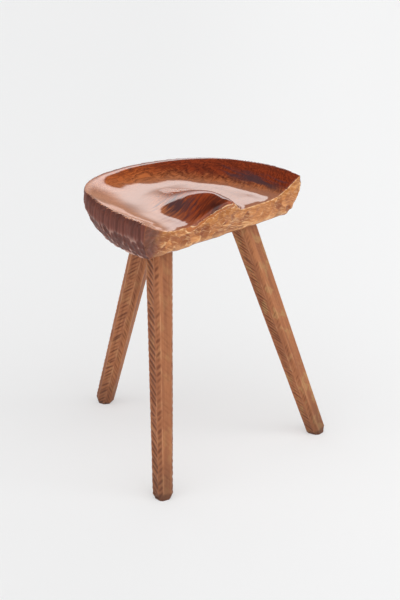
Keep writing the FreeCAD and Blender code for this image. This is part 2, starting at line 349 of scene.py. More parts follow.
# Marks round the flank: along its outline and down from the rim
def pressFlank(dice, around):
    flank = ToolMarks(seatSizes["markCell"])
    for number in range(-3, round(around / fluteMarks["pitch"]) + 3):
        flank.press(
            (number + dice.uniform(*fluteMarks["sways"])) * fluteMarks["pitch"],
            fluteMarks["below"] + dice.uniform(*fluteMarks["staggers"]) * fluteMarks["stagger"],
            fluteMarks["halfWidth"] * dice.uniform(*fluteMarks["halfWidths"]),
            fluteMarks["halfLength"] * dice.uniform(*fluteMarks["halfLengths"]),
            fluteMarks["depth"] * dice.uniform(*fluteMarks["depths"]),
            fluteMarks["slant"] * dice.uniform(-1, 1),
            dice.random(),
        )
    for row in scallopRows:
        for number in range(-2, round(around / row["pitch"]) + 2):
            flank.press(
                (number + dice.uniform(*scallopSpreads["sways"])) * row["pitch"],
                row["below"] + dice.uniform(*scallopSpreads["drops"]),
                row["halfWidth"] * dice.uniform(*scallopSpreads["sizes"]),
                row["halfLength"] * dice.uniform(*scallopSpreads["sizes"]),
                row["depth"] * dice.uniform(*scallopSpreads["depths"]),
                dice.uniform(*scallopSpreads["turns"]),
                dice.random(),
            )
    return flank


# Marks on the front face, by X and Z
def pressFront(dice, sizes):
    front = ToolMarks(sizes["markCell"])
    spacing = frontMarks["spacing"]
    for column in frontMarks["columns"]:
        for row in frontMarks["rows"]:
            front.press(
                (column + dice.uniform(*frontMarks["sways"])) * spacing,
                sizes["underside"] + (row + dice.uniform(*frontMarks["sways"])) * spacing,
                frontMarks["halfWidth"] * dice.uniform(*frontMarks["halfWidths"]),
                frontMarks["halfLength"] * dice.uniform(*frontMarks["halfLengths"]),
                frontMarks["depth"] * dice.uniform(*frontMarks["depths"]),
                dice.choice(frontMarks["slants"]) + dice.uniform(*frontMarks["turns"]),
                dice.random(),
            )
    for plan in splinterMarks:
        (lowX, lowZ), (highX, highZ) = plan["low"], plan["high"]
        for _ in range(plan["count"]):
            front.press(
                dice.uniform(lowX, highX),
                dice.uniform(lowZ, highZ),
                dice.uniform(*splinterSpreads["halfWidths"]),
                dice.uniform(*splinterSpreads["halfLengths"]),
                plan["depth"] * dice.uniform(*splinterSpreads["depths"]),
                plan["turn"] + dice.uniform(*splinterSpreads["turns"]),
                dice.random(),
            )
    return front


# A solid's mesh, remeshed finely enough for the tool marks
def fineMesh(node, voxel):
    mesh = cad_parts[node].data.copy()
    bm = bmesh.new()
    bm.from_mesh(mesh)
    bmesh.ops.remove_doubles(bm, verts=bm.verts, dist=1e-6)
    bm.to_mesh(mesh)
    bm.free()
    carrier = bpy.data.objects.new(node + "Carrier", mesh)
    bpy.context.scene.collection.objects.link(carrier)
    remesh = carrier.modifiers.new("Fine", "REMESH")
    remesh.mode = "VOXEL"
    remesh.voxel_size = voxel
    remesh.use_smooth_shade = True
    fine = bpy.data.meshes.new_from_object(carrier.evaluated_get(bpy.context.evaluated_depsgraph_get()))
    bpy.data.objects.remove(carrier)
    return fine


# 0 at the seat's middle and 1 at its rim
def wayOut(place, sizes):
    x, y = place.x - sizes["centreX"], place.y - sizes["widestY"]
    return math.hypot(x / sizes["halfWidth"], y / sizes["halfDepth"])


# Smooths vertices for some rounds
def even(bm, verts, rounds):
    axes = {"use_axis_x": True, "use_axis_y": True, "use_axis_z": True}
    for _ in range(rounds):
        bmesh.ops.smooth_vert(bm, verts=verts, factor=0.5, **axes)
    bm.normal_update()


# The seat's fine mesh, with its dish evened out and the pommel's lip rounded over
def evenSeat(sizes):
    bm = bmesh.new()
    bm.from_mesh(fineMesh("seat", sizes["voxel"]))
    even(bm, bm.verts, 1)
    dish = [
        vert for vert in bm.verts
        if vert.normal.z > sizes["dishTurn"] and wayOut(vert.co, sizes) < rimSizes["notchFrom"]
    ]
    even(bm, dish, sizes["evenings"])
    (lowX, highX), (lowTurn, highTurn) = lipSizes["span"], lipSizes["turn"]
    lip = {
        vert for vert in bm.verts
        if lowTurn < vert.normal.z < highTurn and vert.normal.y < lipSizes["lean"]
        and lowX < vert.co.x < highX and vert.co.y < lipSizes["from"]
    }
    for _ in range(lipSizes["growth"]):
        lip |= {edge.other_vert(vert) for vert in lip for edge in vert.link_edges}
    even(bm, list(lip), lipSizes["evenings"])
    return bm


# Height of the front face's upper edge, every few millimetres along X
def edgeHeights(bm):
    heights = {}
    for vert in bm.verts:
        if vert.normal.y < lipSizes["edgeLean"] and vert.co.y < lipSizes["from"]:
            column = round(vert.co.x / lipSizes["step"])
            heights[column] = max(heights.get(column, 0.0), vert.co.z)
    return heights


# 0 at the lip's upper edge and 1 from its lower edge down, or where there is no lip
def lipAt(place, heights):
    column = place.x / lipSizes["step"]
    number = math.floor(column)
    first, second = (heights.get(number + side, 0.0) for side in (0, 1))
    drop = (first + (second - first) * (column - number) - place.z) / lipSizes["height"]
    (lowX, highX), (fadeIn, fadeOut) = lipSizes["span"], lipSizes["fades"]
    spanned = climb(place.x, lowX, lowX + fadeIn) * (1 - climb(place.x, highX - fadeOut, highX))
    return 1 - spanned * (1 - min(1.0, max(0.0, drop)))


# How the flutes and scallops move a place of the flank or the rim, their depth and tone there, and
# how far the place is a dark tooth of the rim
def fluted(place, outward, edge, share, rolled, marks, sizes):
    arc = marks["arc"]
    x, y = place.x - sizes["centreX"], place.y - sizes["widestY"]
    angle = math.atan2(y / sizes["halfDepth"], x / sizes["halfWidth"]) % (2 * math.pi)
    step = angle / (2 * math.pi) * (len(arc) - 1)
    low = min(int(step), len(arc) - 2)
    along = arc[low] + (arc[low + 1] - arc[low]) * (step - low)
    fromFront = place.y - sizes["frontLine"]
    rim = sizes["rimHeight"] + sizes["crownRise"] * (1 - (fromFront / sizes["crownPlace"] - 1) ** 2)
    below = rim - place.z
    depth, tone = marks["flank"].depthAt(along, max(0.0, below))
    depth *= 1 - rolled * (1 - climb(below, *rimSizes["plainBand"]))
    mouth = climb(-below, -rimSizes["mouthBelow"], 0.0) * (1 - rolled)
    mouth *= climb(place.y, *rimSizes["notchedFrom"])
    tooth = climb(depth, *rimSizes["toothDepth"]) * climb(edge, *rimSizes["toothReach"]) * mouth
    depth *= 1 + mouth * rimSizes["mouthGain"]
    move = outward * (flankLift - depth) * share
    move.z -= depth * mouth * share * rimSizes["mouthDrop"]
    return move, depth * share, tone, tooth


# How the rolled rim, the broad hollows, the waves and the rasp move a place of the top
def hollowed(place, normal, edge, bare, rolled, sizes):
    roll = max(0.0, edge - rimSizes["rollFrom"]) / (1 - rimSizes["rollFrom"])
    inside = climb(-edge, -1.0, -sizes["dishEdge"])
    wave = noise.noise(place / sizes["waveLength"]) * climb(normal.z, *sizes["waveTurn"])
    move = normal * sizes["waviness"] * wave * bare
    move.z -= rimSizes["rollDrop"] * min(1.0, roll) ** 2 * rolled
    for hollow in dishHollows:
        away = (place.xy - Vector(hollow["middle"])).length / hollow["reach"]
        move.z -= hollow["depth"] * inside * math.cos(math.pi / 2 * min(1.0, away)) ** 2
    away = (place.xy - Vector(raspMarks["middle"])).length / raspMarks["reach"]
    stroke = noise.noise(Vector((place.x / raspMarks["length"], place.y / raspMarks["width"], 0.0)))
    move.z += raspMarks["height"] * stroke * climb(-away, -1.0, -raspMarks["fullest"]) * inside
    return move


# How far a place moves with the raised corner
def cornered(place, sizes):
    corner = climb(place.x, *cornerRise["x"]) * climb(-place.y, *cornerRise["y"])
    height = (place.z - sizes["underside"]) / (sizes["rimHeight"] - sizes["underside"])
    bulge = cornerRise["bulge"] * corner * max(0.0, 4 * height * (1 - height))
    return Vector((bulge, 0.0, cornerRise["lift"] * corner * climb(height, *cornerRise["z"])))


# How the tools moved one place of the seat, and what its finish has to know about it
def carvedPlace(place, normal, marks, sizes):
    x, y = place.x - sizes["centreX"], place.y - sizes["widestY"]
    outward = Vector((x / sizes["halfWidth"] ** 2, y / sizes["halfDepth"] ** 2, 0)).normalized()
    edge = wayOut(place, sizes)
    rolled = climb(place.x, *rimSizes["notched"])
    front = climb(-normal.y, *seatParts["frontTurn"]) * climb(-place.y, *seatParts["frontFrom"])
    flank = climb(normal.dot(outward), *seatParts["flankTurn"]) * climb(edge, *seatParts["flankFrom"])
    flank *= 1 - front
    rim = climb(edge, rimSizes["notchFrom"], 1.0) * climb(normal.z, *seatParts["rimTurn"]) * (1 - front)
    share = max(flank, rim)
    move, cut, tone, tooth = Vector(), 0.0, 0.5, 0.0
    if share > 0:
        move, cut, tone, tooth = fluted(place, outward, edge, share, rolled, marks, sizes)
    if front > 0:
        scoop, tone = marks["front"].depthAt(place.x, place.z)
        move -= normal * (scoop - frontMarks["lift"]) * front
        cut += scoop * front
    if normal.z > 0:
        move += hollowed(place, normal, edge, (1 - share) * (1 - front), rolled, sizes)
    move += cornered(place, sizes)
    lip = lipAt(place, marks["heights"])
    return move, {"cut": cut, "flank": max(flank, tooth), "front": front, "tone": tone, "lip": lip}


# The lower front edge is knocked off in rough facets
def knock(place, edgeCuts, sizes):
    inside = place.y - (sizes["frontLine"] + sizes["frontLean"])
    above = place.z - sizes["underside"]
    facet = place.x / frontEdge["facet"]
    number = math.floor(facet)
    first, second = (edgeCuts[(number + side) % len(edgeCuts)] for side in (0, 1))
    push = (first + (second - first) * (facet - number) - inside - above) / 2
    if push > 0 and place.y < frontEdge["to"]:
        place.y += push
        place.z += push


def carvedSeat(sizes):
    dice = random.Random(11)
    arc = rimArc(sizes)
    marks = {"arc": arc, "flank": pressFlank(dice, arc[-1]), "front": pressFront(dice, sizes)}
    edgeCuts = [frontEdge["cut"] * dice.uniform(*frontEdge["cuts"]) for _ in range(frontEdge["facets"])]
    bm = evenSeat(sizes)
    marks["heights"] = edgeHeights(bm)
    layers = {name: bm.verts.layers.float.new(name) for name in ("cut", "flank", "front", "tone", "lip")}
    moves = []
    for vert in bm.verts:
        move, values = carvedPlace(vert.co, vert.normal, marks, sizes)
        moves.append(move)
        for name, value in values.items():
            vert[layers[name]] = value
    for vert, move in zip(bm.verts, moves):
        vert.co += move
        knock(vert.co, edgeCuts, sizes)
    # The flat underside needs no fine faces, so it is cleared and filled again round the sockets
    underside = [face for face in bm.faces if face.normal.z < sizes["underTurn"]]
    bmesh.ops.delete(bm, geom=underside, context="FACES")
    openEdges = [edge for edge in bm.edges if edge.is_boundary]
    bmesh.ops.triangle_fill(bm, edges=openEdges, use_beauty=True, normal=(0, 0, -1))
    return meshFrom(bm, "seat_carved")


# Legs
legSizes = {
    "top": 0.0365,
    "foot": 0.0285,
    "underside": 0.3845,
    "bevelHeight": 0.0085,
    "bevelInset": 0.0036,
    "spare": 0.012,
    "fineEdge": 0.0013,
    "edgeGroup": 0.004,  # cross edges are cut alike within such steps of length
    "alongTurn": 0.7,  # the least cosine between the axis and an edge that runs along it
    "faintShare": 0.35,
    "chamferShare": 0.7,
    "chamferSlant": 0.75,  # a chamfer's strokes slant by this share of a side's
    "ridgeLift": 0.0002,
    "endTurn": 0.95,  # a normal's Z above which a face belongs to an end
    "tenonLap": 0.001,  # how far the tenon's mesh reaches into the leg's
}
# How a leg's strokes differ from one another
legStrokes = {
    "cell": 0.01,
    "beyond": 0.01,  # strokes past both ends, so that they aren't bare
    "sways": (-0.05, 0.05),
    "halfWidths": (0.85, 1.2),
    "halfLengths": (1.0, 1.25),
    "depths": (0.6, 1.2),
    "turns": (-0.08, 0.08),
    "pitches": (0.8, 1.2),
}
legPlaces = {
    "leg_front_left": {
        "foot": (-0.179, -0.1715), "socket": (-0.0912, -0.0712), "roll": 31.4, "corner": 0.0066,
        "pitch": 0.0104, "slant": 48, "lean": 1, "halfWidth": 0.0034, "depth": 0.0016, "seed": 5,
        "faint": (2,),  # sides with shallower strokes
    },
    "leg_front_right": {
        "foot": (0.179, -0.1715), "socket": (0.0912, -0.0712), "roll": -35.2, "corner": 0.0066,
        "pitch": 0.007, "slant": 50, "lean": 1, "halfWidth": 0.002, "depth": 0.0012, "seed": 6,
        "faint": (2,),
    },
    "leg_back": {
        "foot": (0.0, 0.1735), "socket": (0.0, 0.0469), "roll": 20.1, "corner": 0.0082,
        "pitch": 0.0086, "slant": 38, "lean": -1, "halfWidth": 0.0022, "depth": 0.0013, "seed": 7,
        "faint": (6,),
    },
}


# Puts a leg's own frame in place: Z runs up its axis from the floor
def legFrame(plan, sizes):
    foot, socket = Vector((*plan["foot"], 0)), Vector((*plan["socket"], 0))
    run = socket - foot
    lean = math.atan(run.length / sizes["underside"])
    heading = math.atan2(run.x, -run.y)
    turn = Matrix.Rotation(heading, 4, "Z") @ Matrix.Rotation(lean, 4, "X")
    turn = turn @ Matrix.Rotation(math.radians(plan["roll"]), 4, "Z")
    return Matrix.Translation(foot) @ turn, sizes["underside"] / math.cos(lean)


# Cuts a mesh level at a height, clears what is below (-1) or above it (1) and closes the hole
def cutLevel(bm, height, away):
    everything = [*bm.verts, *bm.edges, *bm.faces]
    cut = bmesh.ops.bisect_plane(
        bm, geom=everything, plane_co=(0, 0, height), plane_no=(0, 0, away), clear_outer=True
    )
    rim = [item for item in cut["geom_cut"] if isinstance(item, bmesh.types.BMEdge)]
    bmesh.ops.holes_fill(bm, edges=rim, sides=0)


# The squared and chamfered billet, cut level at the floor and under the seat
def squaredLeg(plan, sizes):
    stand, shoulder = legFrame(plan, sizes)
    low, high = -sizes["spare"], shoulder + sizes["spare"]
    bm = bmesh.new()
    bmesh.ops.create_cube(bm, size=1)
    bmesh.ops.scale(bm, vec=(sizes["foot"], sizes["foot"], high - low), verts=bm.verts)
    bmesh.ops.translate(bm, vec=(0, 0, (high + low) / 2), verts=bm.verts)
    corners = [edge for edge in bm.edges if abs(edge.verts[0].co.z - edge.verts[1].co.z) > shoulder]
    bmesh.ops.bevel(
        bm, geom=corners, offset=plan["corner"], affect="EDGES", segments=1, profile=0.5, material=-1
    )
    everything = [*bm.verts, *bm.edges, *bm.faces]
    bmesh.ops.bisect_plane(bm, geom=everything, plane_co=(0, 0, sizes["bevelHeight"]), plane_no=(0, 0, 1))
    for vert in bm.verts:
        along = vert.co.z
        across = sizes["foot"] + (sizes["top"] - sizes["foot"]) * along / shoulder
        inset = 0.0
        if along < sizes["bevelHeight"] - 1e-6:
            across = sizes["foot"]
            inset = sizes["bevelInset"] * (1 - along / sizes["bevelHeight"])
        big = across / 2 - inset
        small = across - plan["corner"] - inset * math.sqrt(2) - big
        wide = abs(vert.co.x) > abs(vert.co.y)
        vert.co.x = math.copysign(big if wide else small, vert.co.x)
        vert.co.y = math.copysign(small if wide else big, vert.co.y)
    bmesh.ops.transform(bm, matrix=stand, verts=bm.verts)
    cutLevel(bm, 0, -1)
    cutLevel(bm, sizes["underside"], 1)
    return bm, stand, shoulder


# Cuts a leg's long and cross edges into fine ones, by groups of about the same length
def refine(bm, axis, sizes):
    def longway(edge):
        run = edge.verts[1].co - edge.verts[0].co
        return abs(run.normalized().dot(axis)) > sizes["alongTurn"]

    for wanted in (True, False):
        groups = {}
        for edge in bm.edges:
            if longway(edge) == wanted:
                length = edge.calc_length()
                key = round(length, 1) if wanted else round(length / sizes["edgeGroup"])
                groups.setdefault(key, []).append(edge)
        for edges in groups.values():
            mean = sum(edge.calc_length() for edge in edges) / len(edges)
            cuts = max(1, round(mean / sizes["fineEdge"]) - 1)
            bmesh.ops.subdivide_edges(bm, edges=edges, cuts=cuts, use_grid_fill=True)


# One field of strokes for each of the four sides and the four chamfers between them
def legMarks(plan, sizes, shoulder):
    dice = random.Random(plan["seed"])
    facets = []
    for facet in range(8):
        marks = ToolMarks(legStrokes["cell"])
        flat = facet % 2 == 0
        width = sizes["top"] - 2 * plan["corner"] if flat else plan["corner"] * math.sqrt(2)
        turn = math.radians(plan["slant"]) * plan["lean"] * (1 if flat else -sizes["chamferSlant"])
        deep = plan["depth"] * (sizes["faintShare"] if facet in plan["faint"] else 1)
        deep *= 1 if flat else sizes["chamferShare"]
        along = -legStrokes["beyond"] + dice.uniform(0, plan["pitch"])
        while along < shoulder + legStrokes["beyond"]:
            marks.press(
                dice.uniform(*legStrokes["sways"]) * width,
                along,
                plan["halfWidth"] * dice.uniform(*legStrokes["halfWidths"]),
                width / 2 / math.sin(abs(turn)) * dice.uniform(*legStrokes["halfLengths"]),
                deep * dice.uniform(*legStrokes["depths"]),
                turn + dice.uniform(*legStrokes["turns"]),
            )
            along += plan["pitch"] * dice.uniform(*legStrokes["pitches"])
        facets.append(marks)
    return facets


# The split tenon is kept from the solid leg, from just under the seat up
def tenonMesh(node, underside):
    bm = bmesh.new()
    bm.from_mesh(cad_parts[node].data)
    bmesh.ops.remove_doubles(bm, verts=bm.verts, dist=1e-6)
    cutLevel(bm, underside, -1)
    return meshFrom(bm, node + "_tenon")


def carvedLeg(name, plan, sizes):
    bm, stand, shoulder = squaredLeg(plan, sizes)
    axis = (stand.to_3x3() @ Vector((0, 0, 1))).normalized()
    refine(bm, axis, sizes)
    facets = legMarks(plan, sizes, shoulder)
    back = stand.inverted()
    turnBack = back.to_3x3()
    cutLayer = bm.verts.layers.float.new("cut")
    crestLayer = bm.verts.layers.float.new("crest")
    # Ends and faces with many corners stay flat, so that they split cleanly into triangles
    flat = [face for face in bm.faces if abs(face.normal.z) > sizes["endTurn"] or len(face.verts) > 4]
    ends = {vert for face in flat for vert in face.verts}
    bm.normal_update()
    moves = {}
    for vert in bm.verts:
        if vert in ends:
            continue
        own = back @ vert.co
        move, deepest = Vector(), 0.0
        sides = {}
        for face in vert.link_faces:
            local = turnBack @ face.normal
            sides[round(math.atan2(local.y, local.x) / (math.pi / 4)) % 8] = face.normal
        for facet, normal in sides.items():
            angle = facet * math.pi / 4
            across = own.y * math.cos(angle) - own.x * math.sin(angle)
            depth, _ = facets[facet].depthAt(across, own.z)
            move -= normal * (depth - sizes["ridgeLift"]) / len(sides)
            deepest = max(deepest, depth)
        moves[vert] = move
        vert[cutLayer] = deepest
        vert[crestLayer] = float(len(sides) > 1)
    for vert, move in moves.items():
        vert.co += move
    bm.from_mesh(tenonMesh(name, sizes["underside"] - sizes["tenonLap"]))
    alongLayer = bm.verts.layers.float_vector.new("along")
    for vert in bm.verts:
        vert[alongLayer] = back @ vert.co
    return meshFrom(bm, name + "_carved")


# Finishes
seatColours = {
    "amber": (0.62, 0.22, 0.075),
    "chestnut": (0.47, 0.098, 0.017),
    "russet": (0.25, 0.036, 0.008),
    "ring": (0.055, 0.009, 0.004),
    "plum": (0.06, 0.03, 0.034),
    "orange": (0.48, 0.14, 0.024),
    "bowl": (0.34, 0.15, 0.095),
    "golden": (0.74, 0.315, 0.11),
    "goldenDark": (0.25, 0.064, 0.021),
    "gilt": (0.6, 0.23, 0.04),
    # Painted highlight for the lip's and the front's upper edges
    "paintedHighlight": (0.95, 0.6, 0.3),
    # Pale: painted highlights on the front's crests, flecks and lower edge, and its pale chips
    "pale": (0.85, 0.5, 0.24),
    "flank": (0.19, 0.062, 0.045),
    "flankTop": (0.17, 0.045, 0.027),
    # Painted shade in the flank's deepest cuts, and the colour of its darker marks
    "flankDarkAndShade": (0.075, 0.024, 0.018),
    # Painted highlights on the ridges between the flank's scallops
    "scale": (0.6, 0.37, 0.3),
}
# The plank's grains. The drift and the curl also bend the borders between colours.
seatGrains = {
    "drift": {"lengths": (0.09, 0.03, 0.02), "detail": 4.0, "warp": 0.6},
    "curl": {"lengths": (0.03, 0.016, 0.012), "detail": 2.0, "warp": 1.0},
    "fibre": {"lengths": (0.016, 0.0016, 0.0016), "detail": 4.0},
    "ripple": {"lengths": (0.022, 0.0026, 0.0026), "turn": (0, -36, -25), "detail": 1.0},
    "quilt": {"lengths": (0.007, 0.05, 0.03), "detail": 2.0, "warp": 0.8},
    "knots": {"lengths": (0.024, 0.016, 0.011), "detail": 1.5, "warp": 1.6},
    "sideways": {"lengths": (0.04, 0.0045, 0.02), "turn": (0, 0, 8), "warp": 0.4},
    "lengthways": {"lengths": (0.0045, 0.045, 0.02), "warp": 0.4},
    "torn": {"lengths": (0.035, 0.01, 0.0034), "detail": 4.0, "warp": 1.2},
    "flecks": {"lengths": (0.014, 0.01, 0.0032), "turn": (0, 24, 0), "warp": 0.6},
    "chips": {"lengths": (0.022, 0.02, 0.0017), "turn": (0, 8, 0), "warp": 0.6},
}
# Growth rings round the tree's middle, which lies under the plank at that Y and Z
seatRings = {"middle": (0.06, 0.24), "width": 0.0042, "curl": 0.012, "drift": 0.02}
# How far the drift or the curl moves a border, in metres
borderBends = {"sides": 0.1, "lowest": 0.006, "bowl": 0.004, "front": 0.02}
# Each layer: where it sets in, where it is full and, if less than 1, its share there. A layer whose
# first number is the higher one falls. A side is a span of X, a depth one of Y.
topLayers = {
    "chestnut": (-0.12, 0.0),
    "russet": (0.0, 0.1),
    "lowest": (0.4375, 0.4275),
    "bowl": (0.4315, 0.4245),
    "late": (0.25, 1.0),
    "lateSide": (-0.09, 0.02, 0.4),
    "quilt": (0.5, 0.68, 0.4),
    "quiltSide": (-0.06, 0.03),
    "vein": (0.035, 0.0),
    "veinSide": (-0.07, 0.0, 0.5),
    "ripple": (0.42, 0.62, 0.6),
    "rippleSide": (0.02, -0.08),
    "rippleDepth": (0.04, 0.09, 0.8),
    "fibre": (0.5, 0.8, 0.3),
    "lip": (0.42, 0.55, 0.95),
}
# Shares of the figures that show beyond their side or depth too, of the two layers that go by
# height, and of the figures that the plain bowl loses
topShares = {"late": 0.12, "vein": 0.1, "ripple": 0.2, "lowest": 0.6, "bowl": 0.75, "plain": 0.65}
frontLayers = {
    "torn": (0.4, 0.6, 0.4),
    "gilt": (0.408, 0.43, 0.5),
    "goldenFrom": (0.06, 0.09),
    "goldenTo": (0.14, 0.1, 0.4),
    # Painted highlight flecks
    "highlightFlecks": (0.53, 0.66, 0.4),
    "darkFlecks": (0.46, 0.34, 0.3),
    "fibre": (0.45, 0.75, 0.3),
    # Painted highlights on the crests between the marks and on the knocked-off lower edge
    "crestHighlights": (0.0009, 0.0003, 0.6),
    "lowerEdgeHighlight": (0.398, 0.388, 0.3),
    "darkChips": (0.46, 0.36),
    "paleChips": (0.52, 0.6),
    "leftEnd": (-0.122, -0.152, 0.9),
    "belowLip": (0.86, 0.98),
}
flankLayers = {
    "top": (0.436, 0.448),
    "tone": (0.3, 0.9, 0.5),
    # Painted shade where the flank's cuts go deepest
    "cut": (0.0016, 0.0034, 0.5),
    # Where the painted highlights on the scales' ridges lie: shallow cuts, low on the flank
    "scaleCut": (0.0022, 0.0009),
    "scaleHeight": (0.43, 0.408, 0.85),
}
# Painted highlights along edges: the lip's upper edge, and the upper edge of the front beside the pommel
edgeHighlightLayers = {
    "ridgeFrom": (0.3, 0.38),
    "ridgeTo": (0.52, 0.42),
    "ridgeFlecks": (0.25, 0.5, 0.85),
    "height": (0.402, 0.412),
    "side": (-0.14, -0.12),
    "flecks": (0.35, 0.6),
}
# Heartwood streaks and stains of the top, as seen from above, with the grain that makes each ragged
patchBase = {"turn": 0, "ragged": 2.2}
heart = {**patchBase, "grain": "lengthways", "colour": "plum"}
stain = {**patchBase, "grain": "sideways"}
seatPatches = [
    {**heart, "middle": (0.137, -0.045, 0.44), "reach": (0.016, 0.06, 0.1), "turn": 8, "share": 0.85},
    {**heart, "middle": (0.139, -0.1, 0.44), "reach": (0.018, 0.036, 0.1), "share": 0.7},
    {
        **stain, "colour": "russet", "ragged": 0.9,
        "middle": (-0.025, -0.1, 0.44), "reach": (0.085, 0.08, 0.1), "share": 0.92,
    },
    {
        **stain, "colour": "plum",
        "middle": (-0.04, -0.06, 0.44), "reach": (0.03, 0.05, 0.1), "share": 0.9,
    },
    {
        **stain, "colour": "ring",
        "middle": (-0.015, -0.12, 0.44), "reach": (0.035, 0.04, 0.1), "share": 0.75,
    },
    {
        **stain, "colour": "ring",
        "middle": (-0.018, -0.124, 0.44), "reach": (0.009, 0.009, 0.1), "share": 0.95,
    },
]
# Where the front is splintered
chipPatch = {
    **patchBase, "middle": (0.03, -0.115, 0.398), "reach": (0.045, 0.05, 0.018), "share": 0.95,
}
seatGloss = {"roughness": 0.4, "fibre": 0.2, "coat": 0.05, "onFlank": 0.6, "onFront": 0.4}
seatPores = {"everywhere": 0.3, "depth": 0.00005}


# The varnished top
def topColour(finish, colours, grains):
    layers, shares = topLayers, topShares
    x, y, z = finish.axes(finish.place)
    drift, curl = grains["drift"] - 0.5, grains["curl"] - 0.5
    middleY, middleZ = seatRings["middle"]
    radius = ((y - middleY) * (y - middleY) + (z - middleZ) * (z - middleZ)) ** 0.5
    radius = radius + curl * seatRings["curl"] + drift * seatRings["drift"]
    late = finish.climb(finish.math("FRACT", radius / seatRings["width"]), *layers["late"])
    late = late * (finish.climb(x, *layers["lateSide"]) + shares["late"])
    quilt = finish.climb(grains["quilt"], *layers["quilt"]) * finish.climb(x, *layers["quiltSide"])
    vein = finish.climb(finish.math("ABSOLUTE", grains["knots"] - 0.5), *layers["vein"])
    vein = vein * (finish.climb(x, *layers["veinSide"]) + shares["vein"])
    ripple = finish.climb(grains["ripple"], *layers["ripple"]) * finish.climb(x, *layers["rippleSide"])
    ripple = ripple * (finish.climb(y, *layers["rippleDepth"]) + shares["ripple"])
    fibre = finish.climb(grains["fibre"], *layers["fibre"])
    lowest = finish.climb(z + curl * borderBends["lowest"], *layers["lowest"])
    bowl = finish.climb(z + curl * borderBends["bowl"], *layers["bowl"])
    figured = 1 - bowl * shares["plain"]
    across = x + drift * borderBends["sides"]
    top = finish.mix(finish.climb(across, *layers["chestnut"]), colours["amber"], colours["chestnut"])
    top = finish.mix(finish.climb(across, *layers["russet"]), top, colours["russet"])
    top = finish.mix(lowest * shares["lowest"], top, colours["amber"])
    figures = [(late, "ring"), (quilt, "ring"), (vein, "ring"), (ripple, "russet"), (fibre, "ring")]
    for figure, name in figures:
        top = finish.mix(figure * figured, top, colours[name])
    top = finish.mix(bowl * shares["bowl"], top, colours["bowl"])
    for plan in seatPatches:
        patch = finish.patch(finish.place, grains[plan["grain"]], plan)
        top = finish.mix(patch, top, colours[plan["colour"]])
    lip = finish.climb(finish.attribute("lip"), *layers["lip"]) * finish.attribute("front")
    return finish.mix(lip, top, colours["orange"])


# The tooled flank, with painted shade where its cuts go deepest, and without the painted highlights on
# the ridges of its scales
def flankColour(finish, colours):
    z = finish.axes(finish.place)[2]
    flank = finish.mix(finish.climb(z, *flankLayers["top"]), colours["flank"], colours["flankTop"])
    # Darker by each mark's own tone, and painted shade where the cuts go deepest
    for name in ("tone", "cut"):
        share = finish.climb(finish.attribute(name), *flankLayers[name])
        flank = finish.mix(share, flank, colours["flankDarkAndShade"])
    return flank


# The raw golden front, which turns into the flank at its left end
def frontColour(finish, colours, grains, flank):
    layers = frontLayers
    x, _, z = finish.axes(finish.place)
    drift, flecks, chips = grains["drift"] - 0.5, grains["flecks"], grains["chips"]
    # Each mark has its own tone from dark to light golden: painted light and shade of its facet
    front = finish.mix(finish.attribute("tone"), colours["goldenDark"], colours["golden"])
    front = finish.mix(finish.climb(grains["torn"], *layers["torn"]), front, colours["goldenDark"])
    high = finish.climb(z + drift * borderBends["front"], *layers["gilt"])
    front = finish.mix(high, front, colours["gilt"])
    bright = finish.climb(x, *layers["goldenFrom"]) * finish.climb(x, *layers["goldenTo"])
    front = finish.mix(bright, front, colours["golden"])
    # Painted highlight flecks
    front = finish.mix(finish.climb(flecks, *layers["highlightFlecks"]), front, colours["pale"])
    front = finish.mix(finish.climb(flecks, *layers["darkFlecks"]), front, colours["goldenDark"])
    front = finish.mix(finish.climb(grains["fibre"], *layers["fibre"]), front, colours["goldenDark"])
    # Painted highlights on the crests between the marks, and on the knocked-off lower edge
    front = finish.mix(finish.climb(finish.attribute("cut"), *layers["crestHighlights"]), front, colours["pale"])
    front = finish.mix(finish.climb(z, *layers["lowerEdgeHighlight"]), front, colours["pale"])
    chipped = finish.patch(finish.place, grains["drift"], chipPatch)
    front = finish.mix(chipped * finish.climb(chips, *layers["darkChips"]), front, colours["goldenDark"])
    front = finish.mix(chipped * finish.climb(chips, *layers["paleChips"]), front, colours["pale"])
    left = finish.climb(x + drift * borderBends["front"], *layers["leftEnd"])
    return finish.mix(left, front, flank)


